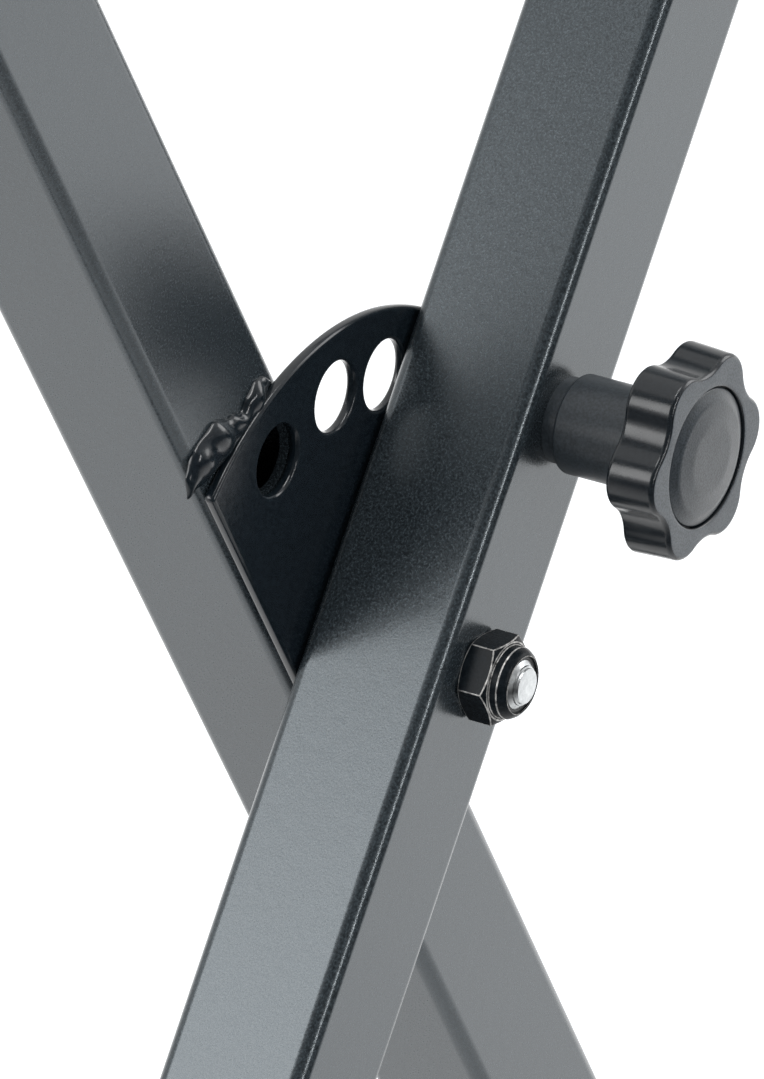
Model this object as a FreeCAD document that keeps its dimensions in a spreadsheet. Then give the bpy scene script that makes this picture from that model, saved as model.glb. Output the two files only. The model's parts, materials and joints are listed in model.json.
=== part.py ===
import FreeCAD, Part
import math
import os
from types import SimpleNamespace

import Sketcher

# Folding keyboard stand. Two square-tube legs cross at one pivot bolt. Each leg carries a
# round bar across its foot and a round bar across its top. A sector plate welded to the far
# leg has a row of holes, and a spring pin with a star knob on the near leg drops into one.
#
# Frame: +Z up, the floor at Z = 0, the legs open and close in the XZ plane, the knob is on
# the -Y side, and Y = 0 lies midway between the two legs.

Vector = FreeCAD.Vector
Rotation = FreeCAD.Rotation
Placement = FreeCAD.Placement

# ---------------------------------------------------------------- driving dimensions (mm, deg)
SIZES = {
    # leg tubes
    "TubeWidth": 25.0,
    "TubeWall": 1.5,
    "TubeCorner": 2.5,
    "CrossAngle": 67.05,
    "FootReach": 500.0,
    "ArmReach": 440.0,
    # cross bars and the saddles that carry them
    "BarDiameter": 25.0,
    "BarWall": 1.5,
    "FootBarLength": 440.0,
    "ArmBarLength": 350.0,
    "SaddleThick": 2.5,
    "SaddleLength": 62.0,
    "SaddleCorner": 5.0,
    "SaddleFit": 0.05,
    "BarBoltPitch": 44.0,
    # small fasteners of the bars
    "BarBoltDiameter": 6.0,
    "BarBoltHole": 6.4,
    "BarBoltLength": 10.0,
    "BarHeadFlats": 10.0,
    "BarHeadHeight": 4.0,
    # rubber feet and arm sleeves
    "CapDiameter": 35.0,
    "CapLength": 46.0,
    "CapEnd": 4.0,
    "CapEdge": 2.5,
    "TreadDrop": 16.7,
    "SleeveDiameter": 32.0,
    "SleeveEnd": 3.0,
    "SleeveEdge": 2.5,
    "SleeveInset": 8.0,
    "RubberFit": 0.05,
    # pivot
    "PivotBolt": 8.0,
    "PivotHole": 8.5,
    "PivotHeadDiameter": 14.0,
    "PivotHeadHeight": 3.6,
    "PivotHeadRim": 1.0,
    "PivotHeadCrown": 8.0,
    "PivotSocket": 5.0,
    "PivotSocketDepth": 2.2,
    "PivotNutFlats": 13.0,
    "PivotNutHeight": 8.0,
    "PivotOverhang": 0.8,
    "ThreadChamfer": 0.7,
    "NutHexShare": 0.66,
    "CollarShare": 0.9,
    "CollarWall": 0.8,
    "CollarLip": 1.3,
    "CornerTurn": 0.55,
    "CornerFlat": 0.97,
    "CutMargin": 1.0,
    "PivotFit": 0.05,
    "SpacerDiameter": 13.0,
    "RearWasherDiameter": 16.0,
    "RearWasherThick": 1.0,
    "GapWasherDiameter": 19.0,
    # sector plate
    "PlateThick": 2.0,
    "RunGap": 0.3,
    "PlateRadius": 53.2,
    "HoleRadius": 42.1,
    "HoleDiameter": 11.5,
    "HoleFolded": 4.4,
    "HoleHigh": 28.0,
    "HoleMiddle": 47.5,
    "HoleLow": 86.5,
    "WeldLeg": 4.5,
    "WeldHeight": 1.6,
    "WeldCrown": 6.0,
    "WeldSpan": 24.0,
    "LowerWeldLeg": 2.6,
    "LowerWeldSpan": 48.0,
    "LowerWeldPlace": 207.0,
    # lock pin, its guide, its spring and its knob
    "GuideDiameter": 16.2,
    "GuideFoot": 2.4,
    "GuideOverlap": 0.4,
    "GuideEdge": 0.6,
    "SpigotDiameter": 14.0,
    "SpigotDepth": 9.5,
    "SpringSeat": 1.5,
    "SpringPocket": 11.8,
    "SpringOutside": 11.0,
    "SpringWire": 1.2,
    "LockTravel": 4.5,
    "PinFit": 0.08,
    "ShankDiameter": 8.0,
    "NoseDiameter": 11.0,
    "NoseLength": 7.0,
    "NoseSetback": 0.3,
    "NoseChamfer": 1.0,
    "NeckDiameter": 5.0,
    "ClipDiameter": 10.0,
    "ClipThick": 1.0,
    "ClipPocket": 0.4,
    "KnobDiameter": 33.4,
    "KnobStandOff": 17.6,
    "KnobThick": 8.4,
    "KnobLobes": 6,
    "LobeRadius": 5.7,
    "ValleyRadius": 8.1,
    "LobeTurn": 2.45,
    "KnobDraft": 3.0,
    "KnobEdge": 0.8,
    "KnobBoreGap": 0.3,
    "KnobSeatGap": 0.2,
    "CapDiscDiameter": 22.4,
    "CapDiscGroove": 0.2,
    "CapDiscDepth": 1.5,
    "CapDiscDome": 0.9,
    "CapDiscEdge": 0.6,
    "CapDiscShoulder": 4.0,
}

doc = FreeCAD.newDocument("keyboard_stand")
sheet = doc.addObject("Spreadsheet::Sheet", "Sizes")
for row, (alias, number) in enumerate(SIZES.items(), start=1):
    sheet.set(f"A{row}", str(number))
    sheet.setAlias(f"A{row}", alias)
doc.recompute()


class Size:
    """A number together with the sheet expression that gives it."""

    def __init__(self, value, text):
        self.value = float(value)
        self.text = text

    def join(self, sign, other, value):
        return Size(value, f"({self.text} {sign} {as_size(other).text})")

    def __add__(self, other):
        return self.join("+", other, self.value + as_size(other).value)

    def __sub__(self, other):
        return self.join("-", other, self.value - as_size(other).value)

    def __mul__(self, other):
        return self.join("*", other, self.value * as_size(other).value)

    def __truediv__(self, other):
        return self.join("/", other, self.value / as_size(other).value)

    def __radd__(self, other):
        return as_size(other) + self

    def __rsub__(self, other):
        return as_size(other) - self

    def __rmul__(self, other):
        return as_size(other) * self

    def __neg__(self):
        return Size(-self.value, f"(0 - {self.text})")


def as_size(item):
    return item if isinstance(item, Size) else Size(item, repr(float(item)))


def sine(angle):
    return Size(math.sin(math.radians(angle.value)), f"sin({angle.text} * 1 deg)")


def cosine(angle):
    return Size(math.cos(math.radians(angle.value)), f"cos({angle.text} * 1 deg)")


def root(square):
    return Size(math.sqrt(square.value), f"sqrt({square.text})")


S = SimpleNamespace(**{name: Size(number, f"Sizes.{name}") for name, number in SIZES.items()})

# ---------------------------------------------------------------- sizes that follow from others
tube_half = S.TubeWidth / 2
leg_gap = S.PlateThick + S.RunGap
leg_middle = leg_gap / 2 + tube_half  # |Y| of each leg's centre plane
leg_outside = leg_gap / 2 + S.TubeWidth  # |Y| of each leg's outer face
lean = S.CrossAngle / 2
pivot_height = S.FootReach * cosine(lean) + S.TreadDrop
bar_radius = S.BarDiameter / 2
saddle_inner = bar_radius + S.SaddleFit
saddle_outer = saddle_inner + S.SaddleThick
plate_flat = root(S.PlateRadius * S.PlateRadius - tube_half * tube_half)
bolt_radius = S.PivotBolt / 2
tube_inside = S.TubeWidth - 2 * S.TubeWall
guide_top = S.KnobStandOff + S.GuideOverlap
knob_top = S.KnobStandOff + S.KnobThick
knob_seat = guide_top + S.LockTravel + S.KnobSeatGap


# ---------------------------------------------------------------- helpers
def bind(thing, path, size):
    thing.setExpression(path, as_size(size).text)


def new_body(label):
    body = doc.addObject("PartDesign::Body", label)
    body.Label = label
    return body


def new_sketch(body, plane, offset=0):
    """A sketch on one of the body's own origin planes, moved along that plane's normal.

    XY_Plane: x, y are X, Y and the normal is +Z. XZ_Plane: x, y are X, Z and the normal is -Y.
    YZ_Plane: x, y are Y, Z and the normal is +X.
    """
    sketch = body.newObject("Sketcher::SketchObject", f"{body.Label}_sketch")
    flat = [item for item in body.Origin.OriginFeatures if item.Role == plane]
    sketch.AttachmentSupport = [(flat[0], "")]
    sketch.MapMode = "FlatFace"
    bind(sketch, "AttachmentOffset.Base.z", offset)
    return sketch


def hold_point(sketch, index, end, x, y):
    """Fix a point of the sketch at x, y from its origin."""
    for kind, axis, size in (("DistanceX", -2, x), ("DistanceY", -1, y)):
        if isinstance(size, Size):
            place = (-1, 1, index, end, size.value)
            row = sketch.addConstraint(Sketcher.Constraint(kind, *place))
            bind(sketch, f"Constraints[{row}]", size)
        else:
            sketch.addConstraint(Sketcher.Constraint("PointOnObject", index, end, axis))


def add_circle(sketch, x, y, radius):
    centre = Vector(as_size(x).value, as_size(y).value, 0)
    index = sketch.addGeometry(Part.Circle(centre, Vector(0, 0, 1), radius.value))
    hold_point(sketch, index, 3, x, y)
    row = sketch.addConstraint(Sketcher.Constraint("Radius", index, radius.value))
    bind(sketch, f"Constraints[{row}]", radius)


def arc_between(start, end, radius, clockwise):
    """The shorter arc of that radius, and which of its ends is the start."""
    chord = end - start
    rise = math.sqrt(max(radius ** 2 - (chord.Length / 2) ** 2, 0.0))
    left = Vector(-chord.y, chord.x, 0).normalize()
    centre = (start + end) * 0.5 + left * (-rise if clockwise else rise)
    ends = [math.atan2(p.y - centre.y, p.x - centre.x) for p in (start, end)]
    if clockwise:
        ends.reverse()
    circle = Part.Circle(centre, Vector(0, 0, 1), radius)
    return Part.ArcOfCircle(circle, *ends), ((2, 1) if clockwise else (1, 2))


def draw(sketch, path):
    """A closed outline. Each step is (x, y), or (x, y, radius, clockwise) where an arc
    leaves the point."""
    laid = []
    for step, following in zip(path, path[1:] + path[:1]):
        start, end = (Vector(as_size(p[0]).value, as_size(p[1]).value, 0) for p in (step, following))
        if len(step) == 2:
            index = sketch.addGeometry(Part.LineSegment(start, end))
            laid.append((index, 1, 2))
        else:
            arc, ends = arc_between(start, end, step[2].value, step[3])
            index = sketch.addGeometry(arc)
            laid.append((index, *ends))
            if abs((end - start).Length - 2 * step[2].value) < 1e-6:
                # a half circle lies level, and its centre is level with its ends
                sketch.addConstraint(Sketcher.Constraint("Horizontal", index, 3, index, 1))
                continue
            row = sketch.addConstraint(Sketcher.Constraint("Radius", index, step[2].value))
            bind(sketch, f"Constraints[{row}]", step[2])
    for step, here, before in zip(path, laid, laid[-1:] + laid[:-1]):
        sketch.addConstraint(Sketcher.Constraint("Coincident", before[0], before[2], here[0], here[1]))
        hold_point(sketch, here[0], here[1], step[0], step[1])


def rounded_square(sketch, middle, width, corner):
    """A square with rounded corners round (0, middle)."""
    half = width / 2
    flat = half - corner
    draw(sketch, [
        (-flat, middle - half), (flat, middle - half, corner, False),
        (half, middle - flat), (half, middle + flat, corner, False),
        (flat, middle + half), (-flat, middle + half, corner, False),
        (-half, middle + flat), (-half, middle - flat, corner, False),
    ])


def hexagon(sketch, flats):
    """A regular hexagon round the origin with two corners on the x axis."""
    corner = flats / root(as_size(3))
    side = corner / 2
    half = flats / 2
    draw(sketch, [
        (corner, 0), (side, half), (-side, half), (-corner, 0), (-side, -half), (side, -half),
    ])


def pad(body, sketch, length, other=None, symmetric=False):
    feature = body.newObject("PartDesign::Pad", "Pad")
    feature.Profile = sketch
    bind(feature, "Length", length)
    if symmetric:
        feature.SideType = "Symmetric"
    if other is not None:
        feature.SideType = "Two sides"
        bind(feature, "Length2", other)
    return feature


def pocket(body, sketch, length=None, reverse=False):
    """Cut against the sketch's normal, or with it in reverse, or both ways without a length."""
    doc.recompute()
    before = body.Shape.Volume
    feature = body.newObject("PartDesign::Pocket", "Pocket")
    feature.Profile = sketch
    if length is None:
        feature.SideType = "Symmetric"
        feature.Type = "ThroughAll"
    else:
        bind(feature, "Length", length)
        feature.Reversed = reverse
    doc.recompute()
    if body.Shape.Volume >= before:
        raise ValueError(f"{body.Label}: {feature.Name} cuts nothing")
    return feature


def revolve(body, sketch, axis="V_Axis", angle=None, groove=False):
    kind = "Groove" if groove else "Revolution"
    feature = body.newObject(f"PartDesign::{kind}", kind)
    feature.Profile = sketch
    feature.ReferenceAxis = (sketch, [axis])
    if angle is None:
        feature.Angle = 360
    else:
        bind(feature, "Angle", angle)
        feature.Midplane = True
    return feature


def dress_edges(body, kind, radius, choose):
    """Fillet or chamfer the edges of the body's last feature that choose() picks."""
    doc.recompute()
    base = body.Tip
    names = [f"Edge{n}" for n, edge in enumerate(base.Shape.Edges, start=1) if choose(edge)]
    feature = body.newObject(f"PartDesign::{kind}", kind)
    feature.Base = (base, names)
    bind(feature, "Radius" if kind == "Fillet" else "Size", radius)
    return feature


def pair_across(label, body, plane):
    """The body and its mirror image across the plane Y = plane, as two solids of one node."""
    other = doc.addObject("Part::Mirroring", f"{label}_second")
    other.Source = body
    other.Normal = Vector(0, 1, 0)
    bind(other, "Base.y", plane)
    both = doc.addObject("Part::Compound", label)
    both.Links = [body, other]
    both.Label = label
    return both


# ---------------------------------------------------------------- where things are
class Leg:
    """One leg: its side of Y = 0, the way it leans, and the frame of its pieces, which has
    its origin on the pivot axis and +Z up along the leg."""

    def __init__(self, name, side):
        self.name = name
        self.side = side
        self.middle = side * leg_middle
        self.turn = Rotation(Vector(0, 1, 0), -side * lean.value)
        self.frame = Placement(Vector(0, 0, pivot_height.value), self.turn)

    def label(self, piece):
        return f"{self.name}_{piece}"

    def along(self, distance):
        return self.frame.multVec(Vector(0, 0, distance))


near = Leg("near", -1)
far = Leg("far", 1)

# Pieces that lie along Y are drawn about their own z axis, pointing to -Y or to +Y, with
# their y axis upright.
facing_front = Rotation(Vector(1, 0, 0), 90)
facing_back = Rotation(Vector(0, 0, 1), 180).multiply(facing_front)
front_face = Vector(0, -leg_outside.value, 0)
pivot_front = Placement(far.along(0) + front_face, facing_front)
lock_front = Placement(near.along(S.HoleRadius.value) + front_face, facing_front)

nodes = []


def keep(item, placement=None):
    if placement is not None:
        item.Placement = placement
    nodes.append(item)
    return item


# ---------------------------------------------------------------- leg tubes
def leg_tube(leg):
    """A square tube from bar to bar, coped over the saddles at both ends."""
    body = new_body(leg.label("leg_tube"))
    section = new_sketch(body, "XY_Plane")
    rounded_square(section, leg.middle, S.TubeWidth, S.TubeCorner)
    rounded_square(section, leg.middle, tube_inside, S.TubeCorner - S.TubeWall)
    pad(body, section, S.ArmReach, other=S.FootReach)
    for height in (S.ArmReach, -S.FootReach):
        cope = new_sketch(body, "XZ_Plane")
        add_circle(cope, 0, height, saddle_outer)
        pocket(body, cope)
    pivot = new_sketch(body, "XZ_Plane")
    add_circle(pivot, 0, 0, S.PivotHole / 2)
    pocket(body, pivot)
    return body


def drill_wall(body, start, reach, x, z, diameter):
    """A hole along +Y that starts at Y = start."""
    sketch = new_sketch(body, "XZ_Plane", -start)
    add_circle(sketch, x, z, diameter / 2)
    pocket(body, sketch, reach)


def near_leg_tube():
    """Drilled in front for the guide's spigot, and behind for the nose of the pin."""
    body = leg_tube(near)
    drill_wall(body, -leg_outside, tube_half, 0, S.HoleRadius, S.SpigotDiameter)
    drill_wall(body, -leg_middle, tube_half, 0, S.HoleRadius, S.HoleDiameter)
    return keep(body, near.frame)


def far_leg_tube():
    """Drilled in front behind the sector plate's first hole, which lies over the tube."""
    body = leg_tube(far)
    x = S.HoleRadius * sine(S.HoleFolded)
    z = S.HoleRadius * cosine(S.HoleFolded)
    drill_wall(body, leg_gap * 0, leg_middle, x, z, S.HoleDiameter)
    return keep(body, far.frame)


# ---------------------------------------------------------------- cross bars
class Bar:
    """One cross bar of a leg: out is +1 at the top of the leg and -1 at its foot."""

    def __init__(self, leg, name, out, reach, length):
        self.leg = leg
        self.name = name
        self.out = out
        self.reach = reach
        self.length = length
        self.height = out * reach

    def label(self, piece):
        return self.leg.label(f"{self.name}_{piece}")

    def outward(self, distance):
        """Height in the leg's frame of a point that far outside the bar's centre."""
        return self.height + self.out * distance

    def end(self, side):
        """Centre of the bar's end on that side of Y = 0."""
        return self.leg.along(self.height.value) + Vector(0, side * self.length.value / 2, 0)


def bolt_holes(body, bar, diameter):
    """Holes for the bar's two bolts, from its centre towards the leg."""
    sketch = new_sketch(body, "XY_Plane", bar.height)
    for step in (-1, 1):
        add_circle(sketch, 0, bar.leg.middle + step * S.BarBoltPitch / 2, diameter / 2)
    pocket(body, sketch, saddle_outer * 2, reverse=bar.out < 0)


def bar_tube(bar):
    """Round tube across the leg, tapped on the leg's side for its two bolts."""
    body = new_body(bar.label("bar"))
    section = new_sketch(body, "XZ_Plane")
    add_circle(section, 0, bar.height, bar_radius)
    add_circle(section, 0, bar.height, bar_radius - S.BarWall)
    pad(body, section, bar.length, symmetric=True)
    bolt_holes(body, bar, S.BarBoltDiameter)
    return keep(body, bar.leg.frame)


def bar_saddle(bar):
    """Half-round shell welded to the coped end of the leg, with rounded corners."""
    body = new_body(bar.label("saddle"))
    section = new_sketch(body, "XZ_Plane", -bar.leg.middle)
    foot = bar.out < 0
    draw(section, [
        (-saddle_outer, bar.height, saddle_outer, foot),
        (saddle_outer, bar.height),
        (saddle_inner, bar.height, saddle_inner, not foot),
        (-saddle_inner, bar.height),
    ])
    pad(body, section, S.SaddleLength, symmetric=True)
    bolt_holes(body, bar, S.BarBoltHole)

    def is_corner(edge):
        straight = len(edge.Vertexes) == 2 and abs(edge.Length - S.SaddleThick.value) < 1e-3
        return straight and abs(edge.CenterOfMass.z - bar.height.value) < 1e-3

    dress_edges(body, "Chamfer", S.SaddleCorner, is_corner)
    return keep(body, bar.leg.frame)


def bar_bolts(bar):
    """Two hexagon-head bolts from the leg's side of the saddle into the bar's tapped wall."""
    body = new_body(bar.label("bolt"))
    head = new_sketch(body, "XY_Plane")
    hexagon(head, S.BarHeadFlats)
    pad(body, head, S.BarHeadHeight)
    shank = new_sketch(body, "XY_Plane")
    add_circle(shank, 0, 0, S.BarBoltDiameter / 2)
    pad(body, shank, S.BarHeadHeight, other=S.BarBoltLength)
    place = bar.leg.middle - S.BarBoltPitch / 2
    seat = Vector(0, place.value, bar.outward(-saddle_outer).value)
    inward = Rotation(Vector(1, 0, 0), 180 if bar.out > 0 else 0)
    body.Placement = bar.leg.frame.multiply(Placement(seat, inward))
    return keep(pair_across(bar.label("bolts"), body, bar.leg.middle))


# ---------------------------------------------------------------- rubber on the bar ends
def bar_end_cup(label, outside, mouth, end, edge):
    """A rubber cup over the end of a bar, which lies at z = 0 and faces +z."""
    body = new_body(label)
    inside = bar_radius + S.RubberFit
    section = new_sketch(body, "XZ_Plane")
    draw(section, [
        (0, S.RubberFit), (inside, S.RubberFit), (inside, mouth), (outside, mouth),
        (outside, end - edge), (outside - edge, end), (0, end),
    ])
    revolve(body, section)
    return body


def foot_cap(bar, side, name):
    """A cup over the end of a foot bar, with a flat tread below."""
    outside = S.CapDiameter / 2
    mouth = S.CapEnd - S.CapLength
    body = bar_end_cup(bar.label(f"cap_{name}"), outside, mouth, S.CapEnd, S.CapEdge)
    tread = new_sketch(body, "YZ_Plane")
    below = outside + S.CutMargin
    before = mouth - S.CutMargin
    beyond = S.CapEnd + S.CutMargin
    draw(tread, [
        (-S.TreadDrop, before), (-S.TreadDrop, beyond), (-below, beyond), (-below, before),
    ])
    pocket(body, tread)
    turn = facing_back if side > 0 else facing_front
    return keep(body, Placement(bar.end(side), turn))


def arm_sleeve(bar, side, name):
    """A closed rubber sleeve from the end of an arm bar to just short of the saddle."""
    outside = S.SleeveDiameter / 2
    saddle_end = S.SaddleLength / 2 + side * bar.leg.middle
    mouth = saddle_end + S.SleeveInset - bar.length / 2
    body = bar_end_cup(bar.label(f"sleeve_{name}"), outside, mouth, S.SleeveEnd, S.SleeveEdge)
    turn = facing_back if side > 0 else facing_front
    return keep(body, Placement(bar.end(side), turn))


# ---------------------------------------------------------------- pivot
def ring(label, inner, outer, bottom, top, placement):
    """A plain ring about z."""
    body = new_body(label)
    section = new_sketch(body, "XZ_Plane")
    draw(section, [(inner, bottom), (outer, bottom), (outer, top), (inner, top)])
    revolve(body, section)
    return keep(body, placement)


def pivot_bolt():
    """Bolt with a low cone head and a hexagon socket, from behind through both legs. Its end
    stands outside the nut."""
    body = new_body("pivot_bolt")
    seat = -(2 * leg_outside + S.RearWasherThick)
    bottom = seat - S.PivotHeadHeight
    tip = S.PivotNutHeight + S.PivotOverhang
    head_radius = S.PivotHeadDiameter / 2
    section = new_sketch(body, "XZ_Plane")
    draw(section, [
        (0, bottom), (S.PivotHeadCrown / 2, bottom), (head_radius, seat - S.PivotHeadRim),
        (head_radius, seat), (bolt_radius, seat), (bolt_radius, tip - S.ThreadChamfer),
        (bolt_radius - S.ThreadChamfer, tip), (0, tip),
    ])
    revolve(body, section)
    socket = new_sketch(body, "XY_Plane", bottom)
    hexagon(socket, S.PivotSocket)
    pocket(body, socket, S.PivotSocketDepth, reverse=True)
    return keep(body, pivot_front)


def pivot_nut():
    """A hexagon nut seated on z = 0. Its collar has a recess for the locking ring."""
    body = new_body("pivot_nut")
    flats = S.PivotNutFlats
    height = S.PivotNutHeight
    hex_height = height * S.NutHexShare
    section = new_sketch(body, "XY_Plane")
    hexagon(section, flats)
    pad(body, section, hex_height)
    # both faces of the hexagon are turned back to a cone at the corners
    turn_corners(body, flats, 0, 1)
    turn_corners(body, flats, hex_height, -1)
    collar = new_sketch(body, "XZ_Plane")
    outside = flats * S.CollarShare / 2
    wall = outside - S.CollarWall
    rim = outside - S.CollarLip
    under = height - S.CollarLip / 2
    draw(collar, [
        (bolt_radius, hex_height / 2), (outside, hex_height / 2),
        (outside, height - S.CollarLip), (rim, height), (rim, under), (wall, under),
        (wall, hex_height), (bolt_radius, hex_height),
    ])
    revolve(body, collar)
    hole = new_sketch(body, "XY_Plane")
    add_circle(hole, 0, 0, bolt_radius)
    pocket(body, hole)
    return keep(body, pivot_front)


def turn_corners(body, flats, level, up):
    """Turn the corners of a hexagon about z back to a cone from its face at that level."""
    corner = flats / root(as_size(3))
    slope = (corner - flats / 2) * S.CornerTurn
    trim = new_sketch(body, "XZ_Plane")
    beyond = corner + S.CutMargin
    path = [
        (beyond, level), (beyond, level + up * slope),
        (corner, level + up * slope), (flats / 2 * S.CornerFlat, level),
    ]
    draw(trim, path)
    revolve(body, trim, groove=True)


def pivot_rings():
    """Locking ring of the nut, spacers that keep the tubes from crushing, and washers."""
    ring_outside = S.PivotNutFlats * S.CollarShare / 2 - S.CollarWall
    ring_bottom = S.PivotNutHeight * S.NutHexShare
    ring_top = S.PivotNutHeight - S.CollarLip / 2
    ring("pivot_nut_ring", bolt_radius, ring_outside, ring_bottom, ring_top, pivot_front)
    loose = bolt_radius + S.PivotFit
    spacer = S.SpacerDiameter / 2
    near_back = -S.TubeWidth
    far_front = near_back - leg_gap
    far_back = far_front - S.TubeWidth
    ring("near_spacer", loose, spacer, near_back + S.TubeWall, -S.TubeWall, pivot_front)
    ring("far_spacer", loose, spacer, far_back + S.TubeWall, far_front - S.TubeWall, pivot_front)
    gap_outside = S.GapWasherDiameter / 2
    ring("gap_washer", loose, gap_outside, near_back - S.RunGap, near_back, pivot_front)
    washer_outside = S.RearWasherDiameter / 2
    washer_end = far_back - S.RearWasherThick
    ring("rear_washer", loose, washer_outside, washer_end, far_back, pivot_front)


# ---------------------------------------------------------------- sector plate
def sector_plate():
    """A sector flush with the far tube's left side. Its other straight side is as far
    outside its last hole as the first is outside the leg's centre line."""
    body = new_body("sector_plate")
    last_x = sine(S.HoleLow)
    last_z = cosine(S.HoleLow)
    section = new_sketch(body, "XZ_Plane", -leg_gap / 2)
    draw(section, [
        (-tube_half, 0),
        (-tube_half, plate_flat, S.PlateRadius, True),
        (plate_flat * last_x + tube_half * last_z, plate_flat * last_z - tube_half * last_x),
        (tube_half * last_z, -tube_half * last_x, tube_half, True),
    ])
    pad(body, section, S.PlateThick)
    holes = new_sketch(body, "XZ_Plane")
    add_circle(holes, 0, 0, S.PivotHole / 2)
    for angle in (S.HoleFolded, S.HoleHigh, S.HoleMiddle, S.CrossAngle, S.HoleLow):
        add_circle(holes, S.HoleRadius * sine(angle), S.HoleRadius * cosine(angle), S.HoleDiameter / 2)
    pocket(body, holes)
    return keep(body, far.frame)


def weld_bead(label, radius, leg, span):
    """A fillet weld on the tube's face along an edge of the plate that runs round the
    pivot, centred above it."""
    body = new_body(label)
    face = leg_gap / 2
    section = new_sketch(body, "YZ_Plane")
    draw(section, [
        (face, radius), (face, radius + leg, S.WeldCrown, False), (face - S.WeldHeight, radius),
    ])
    revolve(body, section, axis="H_Axis", angle=span)
    return body


def weld_beads():
    """One bead along the plate's arc, and one under the pivot on the plate's round end."""
    upper = weld_bead("upper_weld", S.PlateRadius, S.WeldLeg, S.WeldSpan)
    lower = weld_bead("lower_weld", tube_half, S.LowerWeldLeg, S.LowerWeldSpan)
    upper.Placement = far.frame
    under = Rotation(Vector(0, 1, 0), S.LowerWeldPlace.value)
    lower.Placement = far.frame.multiply(Placement(Vector(), under))
    both = doc.addObject("Part::Compound", "weld_beads")
    both.Links = [upper, lower]
    both.Label = "weld_beads"
    return keep(both)


# ---------------------------------------------------------------- lock
def lock_guide():
    """Round housing on the near tube. Its foot is turned down to the spigot, which goes
    through the wall and holds the spring."""
    body = new_body("lock_guide")
    outside = S.GuideDiameter / 2
    spigot = S.SpigotDiameter / 2
    bore = S.ShankDiameter / 2 + S.PinFit
    section = new_sketch(body, "XZ_Plane")
    draw(section, [
        (bore, -S.SpringSeat), (S.SpringPocket / 2, -S.SpringSeat),
        (S.SpringPocket / 2, -S.SpigotDepth), (spigot, -S.SpigotDepth),
        (spigot, S.GuideFoot), (outside - S.GuideEdge, S.GuideFoot),
        (outside, S.GuideFoot + S.GuideEdge), (outside, guide_top - S.GuideEdge),
        (outside - S.GuideEdge, guide_top), (bore, guide_top),
    ])
    revolve(body, section)
    return keep(body, lock_front)


nose_tip = S.NoseSetback - S.TubeWidth
nose_shoulder = nose_tip + S.NoseLength
web_front = knob_top - S.CapDiscDepth


def lock_pin():
    """Pin drawn back clear of the plate: a nose in the rear wall, a shank through the
    guide, and a neck that holds the knob."""
    body = new_body("lock_pin")
    shank = S.ShankDiameter / 2
    nose = S.NoseDiameter / 2
    neck = S.NeckDiameter / 2
    section = new_sketch(body, "XZ_Plane")
    draw(section, [
        (0, nose_tip), (nose - S.NoseChamfer, nose_tip), (nose, nose_tip + S.NoseChamfer),
        (nose, nose_shoulder), (shank, nose_shoulder), (shank, knob_seat),
        (neck, knob_seat), (neck, web_front + S.ClipThick), (0, web_front + S.ClipThick),
    ])
    revolve(body, section)
    return keep(body, lock_front)


def star_outline(sketch):
    """Round lobes joined by round valleys, each arc tangent to its neighbours."""
    both = S.LobeRadius + S.ValleyRadius
    step = as_size(180) / S.KnobLobes
    lobe_middle = S.KnobDiameter / 2 - S.LobeRadius
    across = lobe_middle * sine(step)
    valley_middle = lobe_middle * cosine(step) + root(both * both - across * across)
    path = []
    for lobe in range(SIZES["KnobLobes"]):
        for side in (-1, 1):
            middle = S.LobeTurn + step * (2 * lobe)
            valley = middle + step * side
            share = S.LobeRadius / both
            x = lobe_middle * cosine(middle) * (1 - share) + valley_middle * cosine(valley) * share
            y = lobe_middle * sine(middle) * (1 - share) + valley_middle * sine(valley) * share
            if side < 0:
                path.append((x, y, S.LobeRadius, False))
            else:
                path.append((x, y, S.ValleyRadius, True))
    draw(sketch, path)


def round_pocket(body, level, radius, depth, up=False):
    """A round blind hole about z from that level, downwards or up."""
    sketch = new_sketch(body, "XY_Plane", level)
    add_circle(sketch, 0, 0, radius)
    pocket(body, sketch, depth, reverse=up)


def lock_knob():
    """Six-lobed star grip, drafted towards the front, with a blind bore behind that swallows
    the guide and a shallow recess in front for its cap."""
    body = new_body("lock_knob")
    front = new_sketch(body, "XY_Plane", knob_top)
    star_outline(front)
    grip = pad(body, front, S.KnobThick)
    grip.Reversed = True
    bind(grip, "TaperAngle", S.KnobDraft)
    inside = S.KnobDiameter.value / 2 - S.LobeRadius.value

    def is_rim(edge):
        points = [edge.valueAt(v) for v in (edge.FirstParameter, edge.LastParameter)]
        level = abs(points[0].z - points[1].z) < 1e-3
        return level and min(math.hypot(p.x, p.y) for p in points) > inside

    dress_edges(body, "Chamfer", S.KnobEdge, is_rim)
    bore = S.GuideDiameter / 2 + S.KnobBoreGap
    neck = S.NeckDiameter / 2 + S.PivotFit
    round_pocket(body, knob_top, S.CapDiscDiameter / 2 + S.CapDiscGroove, S.CapDiscDepth)
    round_pocket(body, S.KnobStandOff, bore, knob_seat - S.KnobStandOff, up=True)
    round_pocket(body, web_front, neck, web_front - knob_seat)
    return keep(body, lock_front)


def knob_cap():
    """Raised disc pressed into the knob's recess, hollowed over the clip."""
    body = new_body("lock_knob_cap")
    rim = S.CapDiscDiameter / 2
    hollow = S.ClipDiameter / 2 + S.ClipPocket
    inner = web_front + S.ClipThick + S.ClipPocket / 2
    shoulder = rim - S.CapDiscShoulder
    section = new_sketch(body, "XZ_Plane")
    draw(section, [
        (0, inner), (hollow, inner), (hollow, web_front), (rim, web_front),
        (rim, knob_top - S.CapDiscEdge), (rim - S.CapDiscEdge, knob_top),
        (shoulder, knob_top + S.CapDiscDome), (0, knob_top + S.CapDiscDome),
    ])
    revolve(body, section)
    return keep(body, lock_front)


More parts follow.
